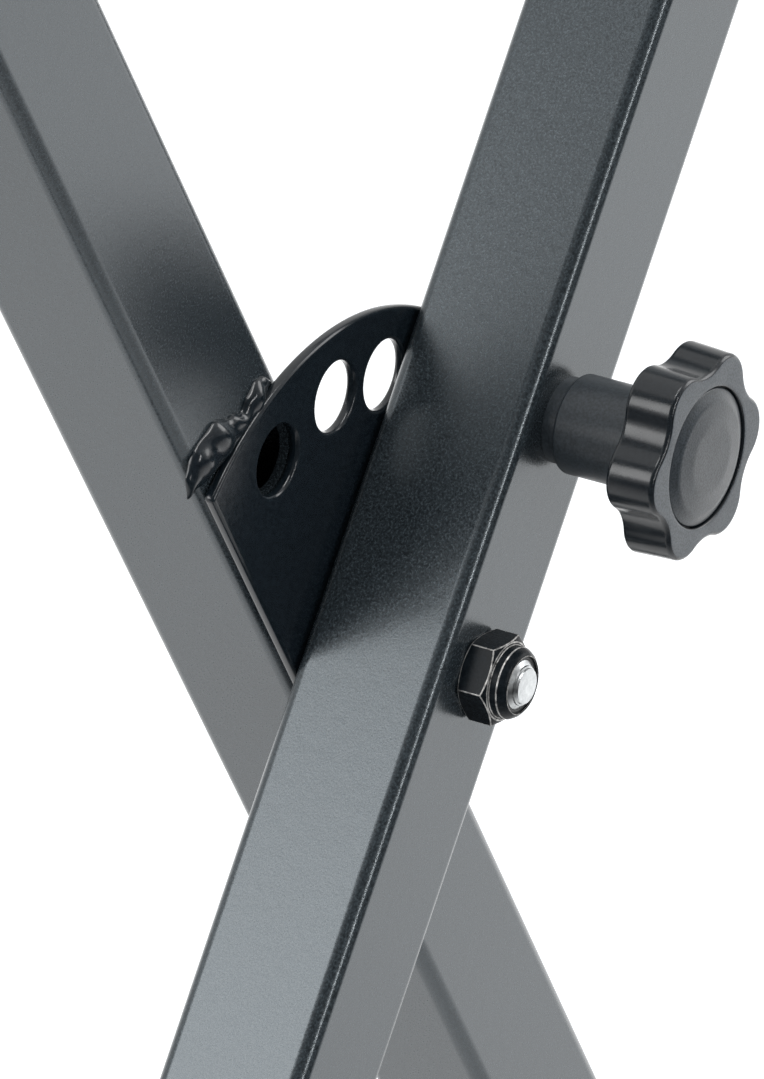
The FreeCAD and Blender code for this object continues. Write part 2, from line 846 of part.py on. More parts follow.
def lock_small_pieces():
    """Clip that keeps the knob on the pin, and the spring round the shank."""
    neck = S.NeckDiameter / 2
    clip = S.ClipDiameter / 2
    ring("lock_pin_clip", neck, clip, web_front, web_front + S.ClipThick, lock_front)
    coil = S.SpringOutside / 2
    ring("lock_spring", coil - S.SpringWire, coil, nose_shoulder, -S.SpringSeat, lock_front)


# ---------------------------------------------------------------- the whole stand
near_leg_tube()
far_leg_tube()
for leg in (near, far):
    foot = Bar(leg, "foot", -1, S.FootReach, S.FootBarLength)
    arm = Bar(leg, "arm", 1, S.ArmReach, S.ArmBarLength)
    for bar in (foot, arm):
        bar_tube(bar)
        bar_saddle(bar)
        bar_bolts(bar)
    for side, name in ((-1, "front"), (1, "back")):
        foot_cap(foot, side, name)
        arm_sleeve(arm, side, name)
pivot_bolt()
pivot_nut()
pivot_rings()
sector_plate()
weld_beads()
lock_guide()
lock_pin()
lock_knob()
knob_cap()
lock_small_pieces()
doc.recompute()

# ---------------------------------------------------------------- checks, then one file a node
for item in doc.Objects:
    failed = {"Invalid", "Error"} & set(item.State)
    if failed:
        raise ValueError(f"{item.Label} is {failed}")
for node in nodes:
    if node.Shape.isNull() or not node.Shape.isValid():
        raise ValueError(f"{node.Label} has no valid shape")
os.makedirs("parts", exist_ok=True)
for node in nodes:
    node.Shape.exportStep(f"parts/{node.Label}.step")
print(len(nodes), "nodes written")
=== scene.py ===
import json
import math

import bmesh
import bpy
from mathutils import Matrix, Vector


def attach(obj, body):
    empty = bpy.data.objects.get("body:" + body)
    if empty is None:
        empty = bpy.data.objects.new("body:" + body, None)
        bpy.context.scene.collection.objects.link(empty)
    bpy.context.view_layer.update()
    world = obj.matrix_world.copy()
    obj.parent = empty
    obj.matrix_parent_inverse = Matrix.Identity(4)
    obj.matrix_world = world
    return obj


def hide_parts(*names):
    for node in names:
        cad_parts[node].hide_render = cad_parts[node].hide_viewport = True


# Folding keyboard stand: two square-tube legs crossed at one pivot, a sector plate with a row
# of holes on the far leg, and a spring pin with a star knob on the near leg.

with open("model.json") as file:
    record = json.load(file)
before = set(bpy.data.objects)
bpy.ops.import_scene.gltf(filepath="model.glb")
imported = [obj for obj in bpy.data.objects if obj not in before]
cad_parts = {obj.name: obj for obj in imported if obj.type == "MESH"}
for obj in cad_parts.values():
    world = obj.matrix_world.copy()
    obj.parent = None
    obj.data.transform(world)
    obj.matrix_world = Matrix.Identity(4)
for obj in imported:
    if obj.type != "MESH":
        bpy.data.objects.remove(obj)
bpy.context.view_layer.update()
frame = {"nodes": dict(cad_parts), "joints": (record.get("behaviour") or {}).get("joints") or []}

# ------------------------------------------------------------ driving dimensions, metres
MM = 0.001
TUBE_WIDTH = 25 * MM
TUBE_WALL = 1.5 * MM
TUBE_CORNER = 2.5 * MM
FOOT_REACH = 500 * MM
ARM_REACH = 440 * MM
LEAN = math.radians(67.05 / 2)
PLATE_THICK = 2 * MM
PLATE_RADIUS = 53.2 * MM
PLATE_EDGE = 0.7 * MM
HOLE_RADIUS = 42.1 * MM
HOLE_DIAMETER = 11.5 * MM
HOLE_ANGLES = [math.radians(angle) for angle in (4.4, 28, 47.5, 67.05, 86.5)]
LEG_GAP = 2.3 * MM
BAR_RADIUS = 12.5 * MM
BAR_WALL = 1.5 * MM
SADDLE_THICK = 2.5 * MM
SADDLE_FIT = 0.05 * MM
SADDLE_LENGTH = 62 * MM
BOLT_PITCH = 44 * MM
NUT_FLATS = 13 * MM
NUT_HEIGHT = 8 * MM
THREAD = 8 * MM
THREAD_PITCH = 1.25 * MM
GUIDE_RADIUS = 8.1 * MM
GUIDE_FOOT = 2.4 * MM
GUIDE_TOP = 18 * MM
KNOB_RADIUS = 16.7 * MM
KNOB_BACK = 17.6 * MM
KNOB_FRONT = 26 * MM
KNOB_SEAT = 22.7 * MM
KNOB_WEB = 24.5 * MM
KNOB_LOBES = 6
LOBE_RADIUS = 5.7 * MM
VALLEY_RADIUS = 8.1 * MM
LOBE_TURN = math.radians(2.45)
KNOB_DRAFT = math.radians(3)

PIVOT = Vector(frame["joints"][0]["pos_m"])
LEG_OUTSIDE = LEG_GAP / 2 + TUBE_WIDTH
LEG_MIDDLE = LEG_GAP / 2 + TUBE_WIDTH / 2
TUBE_HALF = TUBE_WIDTH / 2
FULL_TURN = 2 * math.pi

near_frame = Matrix.Translation(PIVOT) @ Matrix.Rotation(LEAN, 4, "Y")
far_frame = Matrix.Translation(PIVOT) @ Matrix.Rotation(-LEAN, 4, "Y")
facing_front = Matrix.Rotation(math.pi / 2, 4, "X")
facing_back = Matrix.Rotation(math.pi, 4, "Z") @ facing_front
front_face = Vector((0, -LEG_OUTSIDE, 0))
pivot_front = Matrix.Translation(PIVOT + front_face) @ facing_front
lock_front = Matrix.Translation(near_frame @ Vector((0, 0, HOLE_RADIUS)) + front_face) @ facing_front


# ------------------------------------------------------------ material helpers
def linear(code):
    """The linear colour of an sRGB hex code."""
    parts = [int(code[i:i + 2], 16) / 255 for i in (1, 3, 5)]
    return tuple(c / 12.92 if c <= 0.04045 else ((c + 0.055) / 1.055) ** 2.4 for c in parts) + (1,)


def add(tree, kind, inputs=None, stops=(), **settings):
    """A shader node with its settings, its values or links by socket, and its ramp's stops."""
    node = tree.nodes.new("ShaderNode" + kind)
    for name, value in settings.items():
        setattr(node, name, value)
    for socket, value in (inputs or {}).items():
        if isinstance(value, bpy.types.NodeSocket):
            tree.links.new(value, node.inputs[socket])
        else:
            node.inputs[socket].default_value = value
    for row, (place, colour) in enumerate(stops):
        if row > 1:
            node.color_ramp.elements.new(place)
        node.color_ramp.elements[row].position = place
        node.color_ramp.elements[row].color = linear(colour)
    return node


def begin(name):
    """A new material's tree, its principled shader and its object coordinates."""
    material = bpy.data.materials.new(name)
    material.use_nodes = True
    tree = material.node_tree
    shader = tree.nodes["Principled BSDF"]
    place = add(tree, "TexCoord").outputs["Object"]
    return material, tree, shader, place


def powder_coat():
    """Polyester powder sprayed on and baked: satin, with a fine even grain of half a
    millimetre and a slow orange peel. The grain is drawn a little coarse so that it shows."""
    material, tree, shader, place = begin("powder_coat")
    grain = add(tree, "TexNoise", {"Vector": place, "Scale": 2600, "Detail": 3, "Roughness": 0.6})
    peel = add(tree, "TexNoise", {"Vector": place, "Scale": 420, "Detail": 1})
    colour = add(tree, "ValToRGB", {"Fac": grain.outputs["Fac"]},
                 [(0.36, "#161a1d"), (0.64, "#30373b")])
    gloss = add(tree, "MapRange", {"Value": grain.outputs["Fac"], "From Min": 0.3, "From Max": 0.7,
                                   "To Min": 0.2, "To Max": 0.3})
    soft = add(tree, "Bump", {"Height": peel.outputs["Fac"], "Strength": 0.25, "Distance": 0.05 * MM})
    fine = add(tree, "Bump", {"Height": grain.outputs["Fac"], "Strength": 0.45,
                              "Distance": 0.03 * MM, "Normal": soft.outputs["Normal"]})
    tree.links.new(colour.outputs["Color"], shader.inputs["Base Color"])
    tree.links.new(gloss.outputs["Result"], shader.inputs["Roughness"])
    tree.links.new(fine.outputs["Normal"], shader.inputs["Normal"])
    shader.inputs["IOR"].default_value = 1.7
    shader.inputs["Specular Tint"].default_value = (0.87, 0.95, 1.0, 1.0)
    return material


def gloss_paint():
    """Black enamel dipped over bare plate and weld: deep, glossy, with a slow orange peel."""
    material, tree, shader, place = begin("gloss_paint")
    peel = add(tree, "TexNoise", {"Vector": place, "Scale": 330, "Detail": 2})
    dust = add(tree, "TexNoise", {"Vector": place, "Scale": 1900, "Detail": 2})
    colour = add(tree, "ValToRGB", {"Fac": dust.outputs["Fac"]},
                 [(0.35, "#0e1419"), (0.7, "#181f24")])
    gloss = add(tree, "MapRange", {"Value": dust.outputs["Fac"], "To Min": 0.12, "To Max": 0.24})
    bump = add(tree, "Bump", {"Height": peel.outputs["Fac"], "Strength": 0.3, "Distance": 0.06 * MM})
    tree.links.new(colour.outputs["Color"], shader.inputs["Base Color"])
    tree.links.new(gloss.outputs["Result"], shader.inputs["Roughness"])
    tree.links.new(bump.outputs["Normal"], shader.inputs["Normal"])
    shader.inputs["IOR"].default_value = 1.5
    return material


def moulded(name, dark, light, rough, grain_mm, depth_mm, slow_mm=4.0):
    """Black moulded plastic or rubber with an even grain of that many millimetres."""
    material, tree, shader, place = begin(name)
    grain = add(tree, "TexNoise", {"Vector": place, "Scale": 1 / (grain_mm * MM), "Detail": 2})
    slow = add(tree, "TexNoise", {"Vector": place, "Scale": 1 / (slow_mm * MM), "Detail": 1})
    colour = add(tree, "ValToRGB", {"Fac": grain.outputs["Fac"]}, [(0.35, dark), (0.65, light)])
    gloss = add(tree, "MapRange", {"Value": slow.outputs["Fac"], "To Min": rough - 0.05,
                                   "To Max": rough + 0.07})
    bump = add(tree, "Bump", {"Height": grain.outputs["Fac"], "Strength": 0.5,
                              "Distance": depth_mm * MM})
    tree.links.new(colour.outputs["Color"], shader.inputs["Base Color"])
    tree.links.new(gloss.outputs["Result"], shader.inputs["Roughness"])
    tree.links.new(bump.outputs["Normal"], shader.inputs["Normal"])
    return material


def turned_plastic():
    """Black acetal turned on a lathe: satin, with tool marks round the axis, which is Y."""
    material, tree, shader, place = begin("turned_plastic")
    marks = add(tree, "TexWave", {"Vector": place, "Scale": 900, "Distortion": 1.5, "Detail": 2},
                bands_direction="Y")
    dust = add(tree, "TexNoise", {"Vector": place, "Scale": 2200, "Detail": 2})
    colour = add(tree, "ValToRGB", {"Fac": dust.outputs["Fac"]},
                 [(0.35, "#22272b"), (0.7, "#343a3f")])
    gloss = add(tree, "MapRange", {"Value": dust.outputs["Fac"], "To Min": 0.34, "To Max": 0.48})
    bump = add(tree, "Bump", {"Height": marks.outputs["Fac"], "Strength": 0.25,
                              "Distance": 0.02 * MM})
    tree.links.new(colour.outputs["Color"], shader.inputs["Base Color"])
    tree.links.new(gloss.outputs["Result"], shader.inputs["Roughness"])
    tree.links.new(bump.outputs["Normal"], shader.inputs["Normal"])
    return material


def plated(name, dark, light, metal, rough):
    """Plated steel, drawn and cut: small smears of tone and fine scratches."""
    material, tree, shader, place = begin(name)
    smear = add(tree, "TexNoise", {"Vector": place, "Scale": 900, "Detail": 4, "Roughness": 0.65})
    colour = add(tree, "ValToRGB", {"Fac": smear.outputs["Fac"]}, [(0.3, dark), (0.7, light)])
    gloss = add(tree, "MapRange", {"Value": smear.outputs["Fac"], "To Min": rough - 0.08,
                                   "To Max": rough + 0.1})
    bump = add(tree, "Bump", {"Height": smear.outputs["Fac"], "Strength": 0.3,
                              "Distance": 0.03 * MM})
    tree.links.new(colour.outputs["Color"], shader.inputs["Base Color"])
    tree.links.new(gloss.outputs["Result"], shader.inputs["Roughness"])
    tree.links.new(bump.outputs["Normal"], shader.inputs["Normal"])
    shader.inputs["Metallic"].default_value = metal
    return material


POWDER = powder_coat()
ENAMEL = gloss_paint()
TURNED = turned_plastic()
KNOB_GLOSS = moulded("knob_gloss", "#12161a", "#1b2024", 0.2, 0.4, 0.008)
KNOB_GRAIN = moulded("knob_grain", "#32373b", "#4d5358", 0.42, 0.3, 0.06)
CAP_GRAIN = moulded("cap_grain", "#1d2226", "#343a3f", 0.34, 0.3, 0.06)
NYLON = moulded("nylon_ring", "#17191b", "#25282a", 0.4, 0.5, 0.02)
RUBBER = moulded("rubber", "#17191a", "#242729", 0.7, 0.5, 0.05)
BLACK_NUT = plated("black_nut", "#0a0e11", "#171c20", 0.0, 0.26)
BLACK_NUT.node_tree.nodes["Principled BSDF"].inputs["Specular IOR Level"].default_value = 0.08
# The nut's rounded edges: bright steel as a painted highlight, the light they catch drawn into their
# colour.
NUT_EDGE_HIGHLIGHT = plated("painted_edge_highlight", "#1b1c1d", "#dedbd7", 0.4, 0.36)
ZINC = plated("zinc_steel", "#a6a9ab", "#cdd0d1", 1.0, 0.3)


# ------------------------------------------------------------ mesh helpers
def rounded(points, steps=5):
    """The points of an outline, with each (x, y, radius) corner turned into an arc."""
    line = []
    for row, point in enumerate(points):
        here = Vector(point[:2])
        if len(point) == 2:
            line.append(here)
            continue
        back = (Vector(points[row - 1][:2]) - here).normalized()
        ahead = (Vector(points[(row + 1) % len(points)][:2]) - here).normalized()
        half = back.angle(ahead) / 2
        centre = here + (back + ahead).normalized() * (point[2] / math.sin(half))
        first = here + back * (point[2] / math.tan(half)) - centre
        last = here + ahead * (point[2] / math.tan(half)) - centre
        sweep = first.angle_signed(last)
        for step in range(steps + 1):
            line.append(centre + Matrix.Rotation(-sweep * step / steps, 2) @ first)
    return line


def lathe(points, segments=96, loop=True, steps=5):
    """A profile of (radius, height) points turned about z; loop closes the profile."""
    bm = bmesh.new()
    line = rounded(points, steps)
    made = [bm.verts.new((max(x, 0.0), 0, z)) for x, z in line]
    pairs = zip(made, made[1:] + (made[:1] if loop else []))
    edges = [bm.edges.new(pair) for pair in pairs if pair[0] is not pair[1]]
    bmesh.ops.spin(bm, geom=made + edges, axis=(0, 0, 1), cent=(0, 0, 0), angle=FULL_TURN,
                   steps=segments, use_merge=True)
    return tidy(bm)


def tidy(bm):
    bmesh.ops.remove_doubles(bm, verts=bm.verts[:], dist=1e-7)
    bmesh.ops.dissolve_degenerate(bm, edges=bm.edges[:], dist=1e-8)
    bmesh.ops.recalc_face_normals(bm, faces=bm.faces[:])
    return bm


def rod(radius, length, segments=64, place=None):
    """A plain cutter along z, from its middle both ways."""
    bm = bmesh.new()
    bmesh.ops.create_cone(bm, cap_ends=True, segments=segments, radius1=radius, radius2=radius,
                          depth=length)
    if place is not None:
        bmesh.ops.transform(bm, matrix=place, verts=bm.verts[:])
    return bm


def hexagon_prism(flats, height):
    """A hexagon prism on z = 0 with two corners on x, its corners turned back to a cone."""
    corner = flats / math.sqrt(3)
    bm = bmesh.new()
    bmesh.ops.create_cone(bm, cap_ends=True, segments=6, radius1=corner, radius2=corner,
                          depth=height)
    bmesh.ops.rotate(bm, verts=bm.verts[:], matrix=Matrix.Rotation(math.pi / 6, 3, "Z"))
    bmesh.ops.translate(bm, verts=bm.verts[:], vec=(0, 0, height / 2))
    flat = flats / 2 * 0.97
    slope = (corner - flats / 2) * 0.6
    beyond = corner * 1.02
    rise = slope * (beyond - flat) / (corner - flat)
    cone = lathe([(0, -slope), (2 * flat - corner, -slope), (beyond, rise),
                  (beyond, height - rise), (2 * flat - corner, height + slope),
                  (0, height + slope)], 96)
    return carve(bm, [cone], "INTERSECT")


def to_object(bm, name):
    mesh = bpy.data.meshes.new(name)
    bm.to_mesh(mesh)
    bm.free()
    thing = bpy.data.objects.new(name, mesh)
    bpy.context.scene.collection.objects.link(thing)
    return thing


def carve(bm, tools, operation="DIFFERENCE"):
    """The mesh after each tool is cut from it, joined to it or crossed with it."""
    thing = to_object(bm, "blank")
    cutters = [to_object(tool, "tool") for tool in tools]
    for cutter in cutters:
        boolean = thing.modifiers.new("cut", "BOOLEAN")
        boolean.object = cutter
        boolean.operation = operation
        boolean.solver = "EXACT"
    bpy.context.view_layer.update()
    shaped = thing.evaluated_get(bpy.context.evaluated_depsgraph_get())
    made = bmesh.new()
    made.from_mesh(shaped.to_mesh())
    shaped.to_mesh_clear()
    for item in [thing, *cutters]:
        mesh = item.data
        bpy.data.objects.remove(item)
        bpy.data.meshes.remove(mesh)
    bmesh.ops.remove_doubles(made, verts=made.verts[:], dist=1e-7)
    return made


def moved(bm, place):
    bmesh.ops.transform(bm, matrix=place, verts=bm.verts[:])
    return bm


def piece(name, bm, body, materials, nodes=(), edge=0.0, sharp=35, pick=None, highlight_slot=-1,
          clamp=True):
    """A finished piece on its body. edge rounds the sharp edges left, their rounded faces in
    the material number given, where a painted highlight can go, and clamp holds it back in
    narrow places; pick gives a face's material number from its middle and normal."""
    thing = to_object(bm, name)
    mesh = thing.data
    for material in materials:
        mesh.materials.append(material)
    for face in mesh.polygons:
        face.use_smooth = True
        if pick:
            face.material_index = pick(face.center, face.normal)
    if edge:
        bevel = thing.modifiers.new("edges", "BEVEL")
        bevel.width = edge
        bevel.segments = 3
        bevel.material = highlight_slot
        bevel.limit_method = "ANGLE"
        bevel.angle_limit = math.radians(sharp)
        bevel.use_clamp_overlap = clamp
    weighted = thing.modifiers.new("shading", "WEIGHTED_NORMAL")
    weighted.keep_sharp = True
    if not edge:
        mark_sharp(mesh, sharp)
    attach(thing, body)
    if nodes:
        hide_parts(*nodes)
    return thing


def mark_sharp(mesh, degrees):
    bm = bmesh.new()
    bm.from_mesh(mesh)
    for line in bm.edges:
        if len(line.link_faces) == 2 and line.calc_face_angle(0) > math.radians(degrees):
            line.smooth = False
    bm.to_mesh(mesh)
    bm.free()


# ------------------------------------------------------------ leg tubes
def square_bar(middle, width, corner, length):
    """A square bar along its leg, with rounded corners."""
    bm = bmesh.new()
    bmesh.ops.create_cube(bm, size=1)
    bmesh.ops.scale(bm, vec=(width, width, length), verts=bm.verts[:])
    bmesh.ops.translate(bm, vec=(0, middle, (ARM_REACH - FOOT_REACH) / 2), verts=bm.verts[:])
    corners = [line for line in bm.edges if abs(line.verts[0].co.z - line.verts[1].co.z) > width]
    bmesh.ops.bevel(bm, geom=corners, offset=corner, offset_type="OFFSET", segments=8,
                    profile=0.5, affect="EDGES", material=-1)
    return bm


def square_tube(middle):
    """The blank of a leg tube, and the tools that hollow it and cope its ends."""
    length = ARM_REACH + FOOT_REACH
    bm = square_bar(middle, TUBE_WIDTH, TUBE_CORNER, length)
    hollow = square_bar(middle, TUBE_WIDTH - 2 * TUBE_WALL, TUBE_CORNER - TUBE_WALL,
                        length + TUBE_WIDTH)
    saddle = BAR_RADIUS + SADDLE_FIT + SADDLE_THICK
    across = Matrix.Rotation(math.pi / 2, 4, "X")
    tools = [hollow]
    for height in (ARM_REACH, -FOOT_REACH):
        place = Matrix.Translation((0, middle, height)) @ across
        tools.append(rod(saddle, 2 * TUBE_WIDTH, 96, place))
    return bm, tools, across


def drill(middle, x, z, radius, across):
    return rod(radius, TUBE_WIDTH, 64, Matrix.Translation((x, middle, z)) @ across)


def leg_tubes():
    bm, tools, across = square_tube(-LEG_MIDDLE)
    tools.append(drill(-LEG_MIDDLE + TUBE_WIDTH / 2, 0, HOLE_RADIUS, HOLE_DIAMETER / 2, across))
    tools.append(drill(-LEG_MIDDLE - TUBE_WIDTH / 2, 0, HOLE_RADIUS, 7 * MM, across))
    piece("near_leg_square_tube", moved(carve(bm, tools), near_frame), "near_leg",
          [POWDER], ["near_leg_tube"], sharp=25)
    bm, tools, across = square_tube(LEG_MIDDLE)
    first = HOLE_ANGLES[0]
    tools.append(drill(LEG_MIDDLE - TUBE_WIDTH / 2, HOLE_RADIUS * math.sin(first),
                       HOLE_RADIUS * math.cos(first), HOLE_DIAMETER / 2, across))
    piece("far_leg_square_tube", moved(carve(bm, tools), far_frame), "far_leg",
          [POWDER], ["far_leg_tube"], sharp=25)


# ------------------------------------------------------------ sector plate and welds
def sector_plate():
    """Punched sector with rounded edges: the hull of a disc round the pivot and the arc that
    carries the holes."""
    last = HOLE_ANGLES[-1]
    flat = math.sqrt(PLATE_RADIUS ** 2 - TUBE_HALF ** 2)
    first_turn = math.atan2(-TUBE_HALF, flat)
    last_turn = last - first_turn
    bm = rod(TUBE_HALF, PLATE_THICK, 96)
    arc = rod(PLATE_RADIUS, PLATE_THICK, 288)
    arc_mesh = bpy.data.meshes.new("arc")
    arc.to_mesh(arc_mesh)
    arc.free()
    bm.from_mesh(arc_mesh)
    bpy.data.meshes.remove(arc_mesh)
    outside = []
    for vert in bm.verts:
        turn = math.atan2(vert.co.x, vert.co.y)
        if vert.co.xy.length > PLATE_RADIUS * 0.9 and not first_turn <= turn <= last_turn:
            outside.append(vert)
    bmesh.ops.delete(bm, geom=outside, context="VERTS")
    for turn in (first_turn, last_turn):
        for side in (-1, 1):
            at = (PLATE_RADIUS * math.sin(turn), PLATE_RADIUS * math.cos(turn), side * PLATE_THICK / 2)
            bm.verts.new(at)
    made = bmesh.ops.convex_hull(bm, input=bm.verts[:])
    spare = {item for item in made["geom_interior"] + made["geom_unused"]
             if isinstance(item, bmesh.types.BMVert)}
    bmesh.ops.delete(bm, geom=list(spare), context="VERTS")
    hull = {item for item in made["geom"] if isinstance(item, bmesh.types.BMFace) and item.is_valid}
    extra = [face for face in bm.faces if face not in hull]
    bmesh.ops.delete(bm, geom=extra, context="FACES_ONLY")
    loose = [line for line in bm.edges if not line.link_faces]
    bmesh.ops.delete(bm, geom=loose, context="EDGES")
    bmesh.ops.dissolve_limit(bm, angle_limit=math.radians(0.2), verts=bm.verts[:], edges=bm.edges[:])
    tools = [rod(4.25 * MM, 3 * PLATE_THICK, 48)]
    for turn in HOLE_ANGLES:
        at = Matrix.Translation((HOLE_RADIUS * math.sin(turn), HOLE_RADIUS * math.cos(turn), 0))
        tools.append(rod(HOLE_DIAMETER / 2, 3 * PLATE_THICK, 72, at))
    plate = carve(bm, tools)
    middle = LEG_GAP / 2 - PLATE_THICK / 2
    place = far_frame @ Matrix.Translation((0, middle, 0)) @ facing_front
    piece("punched_sector_plate", moved(plate, place), "far_leg", [ENAMEL],
          ["sector_plate"], edge=PLATE_EDGE, clamp=False)


def between(table, place):
    """The value at that place of a table of (place, value) rows, eased from row to row."""
    for (low, start), (high, end) in zip(table, table[1:]):
        if place <= high:
            share = max((place - low) / (high - low), 0)
            return start + (end - start) * share * share * (3 - 2 * share)
    return table[-1][1]


def bead(inner, outer, height, ripples):
    """A weld bead on the far tube's face along an arc round the pivot: a stretched sphere.
    inner and outer give its reach by angle, and height its crown; angles are in degrees and
    sizes in millimetres."""
    bm = bmesh.new()
    bmesh.ops.create_uvsphere(bm, u_segments=56, v_segments=96, radius=1)
    first = inner[0][0]
    last = inner[-1][0]
    for vert in bm.verts:
        share = vert.co.z
        body = math.sqrt(max(1 - share ** 2, 1e-9))
        across = vert.co.x / body
        crown = vert.co.y / body
        angle = (first + last) / 2 + (last - first) / 2 * share
        low = between(inner, angle)
        high = between(outer, angle)
        end = (1 - share ** 8) ** 0.5
        ripple = 1 + ripples * math.sin(angle * 1.2 + 1.8 * across ** 2)
        reach = (low + high) / 2 + (high - low) / 2 * across * end
        rise = between(height, angle) * max(crown, -0.2) * end * ripple
        turn = math.radians(angle)
        vert.co = (reach * MM * math.sin(turn), LEG_GAP / 2 - rise * MM, reach * MM * math.cos(turn))
    return tidy(bm)


def weld_beads():
    """Painted-over arc welds: one in two runs on the plate's arc, one under its round end."""
    upper = bead(
        [(-15.5, 57.0), (-11, 55.0), (-6.7, 53.0), (-1.2, 52.0), (4.2, 51.7), (8.3, 52.2),
         (11, 53.5)],
        [(-15.5, 57.6), (-13, 60.4), (-9.4, 61.6), (-4.1, 60.6), (-0.5, 57.4), (2.2, 55.4),
         (4.5, 56.4), (7.5, 57.0), (9.5, 56.4), (11, 54.4)],
        [(-15.5, 0.9), (-9, 1.85), (-4, 1.85), (1.5, 1.3), (5, 1.75), (11, 1.0)], 0.13)
    lower = bead(
        [(183, 13.0), (200, 12.0), (215, 12.0), (231, 13.0)],
        [(183, 13.4), (192, 15.0), (207, 14.4), (220, 15.2), (231, 13.4)],
        [(183, 0.6), (195, 1.4), (207, 1.0), (219, 1.4), (231, 0.6)], 0.1)
    mesh = bpy.data.meshes.new("lower")
    lower.to_mesh(mesh)
    lower.free()
    upper.from_mesh(mesh)
    bpy.data.meshes.remove(mesh)
    piece("rippled_weld_beads", moved(upper, far_frame), "far_leg", [ENAMEL],
          ["weld_beads"], sharp=80)


# ------------------------------------------------------------ pivot
def pivot_nut():
    """Nyloc nut: a hexagon with turned corners and a rolled collar round the nylon ring."""
    hex_height = NUT_HEIGHT * 0.66
    outside = NUT_FLATS * 0.9 / 2
    nut = hexagon_prism(NUT_FLATS, hex_height)
    wall = outside - 0.8 * MM
    collar = lathe([
        (THREAD / 2, hex_height / 2), (outside, hex_height / 2), (outside, NUT_HEIGHT - 1.4 * MM),
        (outside - 0.5 * MM, NUT_HEIGHT - 0.55 * MM), (outside - 1.2 * MM, NUT_HEIGHT),
        (wall - 0.45 * MM, NUT_HEIGHT - 0.1 * MM), (wall - 0.45 * MM, NUT_HEIGHT - 0.7 * MM),
        (THREAD / 2 + 0.02 * MM, NUT_HEIGHT - 0.7 * MM), (THREAD / 2 + 0.02 * MM, hex_height / 2),
    ], 96)
    nut = carve(nut, [rod(THREAD / 2 + 0.02 * MM, 4 * NUT_HEIGHT, 96)])
    nut = carve(nut, [collar], "UNION")
    # Its rounded edges take material number 1, the painted edge highlight.
    piece("nyloc_nut", moved(nut, pivot_front), "near_leg", [BLACK_NUT, NUT_EDGE_HIGHLIGHT],
          ["pivot_nut"], edge=0.13 * MM, sharp=24, highlight_slot=1, clamp=False)
    ring = lathe([
        (THREAD / 2, hex_height), (wall, hex_height), (wall, NUT_HEIGHT - 0.55 * MM),
        (THREAD / 2 + 0.1 * MM, NUT_HEIGHT - 0.4 * MM, 0.15 * MM), (THREAD / 2, NUT_HEIGHT - 0.7 * MM),
    ], 96)
    piece("nylon_locking_ring", moved(ring, pivot_front), "near_leg", [NYLON],
          ["pivot_nut_ring"])


def pivot_bolt():
    """Bolt with a low cone head and a hexagon socket, from behind; its rolled thread shows
    outside the nut."""
    head_height = 3.6 * MM
    seat = -(2 * LEG_OUTSIDE + 1 * MM)
    bottom = seat - head_height
    tip = NUT_HEIGHT + 0.8 * MM
    crest = THREAD / 2
    root = crest - 0.6 * MM
    line = [(0, bottom), (4 * MM, bottom, 0.6 * MM), (7 * MM, seat - 1 * MM, 0.4 * MM),
            (7 * MM, seat, 0.15 * MM), (crest, seat), (crest, -2 * MM)]
    level = -2 * MM
    while level + THREAD_PITCH < tip - 1.1 * MM:
        line += [(crest, level + THREAD_PITCH * 0.15), (root, level + THREAD_PITCH * 0.5),
                 (crest, level + THREAD_PITCH * 0.85)]
        level += THREAD_PITCH
    line += [(crest, tip - 1.2 * MM), (crest - 0.75 * MM, tip - 0.75 * MM),
             (crest - 0.8 * MM, tip - 0.5 * MM), (crest - 1.05 * MM, tip - 0.4 * MM),
             (crest - 1.15 * MM, tip, 0.1 * MM), (0, tip)]
    shank = lathe(line, 96, loop=False)
    socket = hexagon_prism(5 * MM, 3 * MM)
    bmesh.ops.translate(socket, vec=(0, 0, bottom - 0.8 * MM), verts=socket.verts[:])
    piece("threaded_pivot_bolt", moved(carve(shank, [socket]), pivot_front), "near_leg",
          [ZINC], ["pivot_bolt"], sharp=30)


# ------------------------------------------------------------ lock knob
def star_radius(turn, grow):
    """Radius of the star's outline at that angle, with the outline moved out by grow. Round
    lobes and round valleys meet in tangents."""
    half = math.pi / KNOB_LOBES
    both = LOBE_RADIUS + VALLEY_RADIUS
    lobe = KNOB_RADIUS - LOBE_RADIUS
    valley = lobe * math.cos(half) + math.sqrt(both ** 2 - (lobe * math.sin(half)) ** 2)
    share = (LOBE_RADIUS + grow) / both
    x = lobe * (1 - share) + valley * math.cos(half) * share
    y = valley * math.sin(half) * share
    off = (turn - LOBE_TURN + half) % (2 * half) - half
    if abs(off) < math.atan2(y, x):
        return lobe * math.cos(off) + math.sqrt(
            (LOBE_RADIUS + grow) ** 2 - (lobe * math.sin(off)) ** 2)
    off = half - abs(off)
    return valley * math.cos(off) - math.sqrt(
        (VALLEY_RADIUS - grow) ** 2 - (valley * math.sin(off)) ** 2)


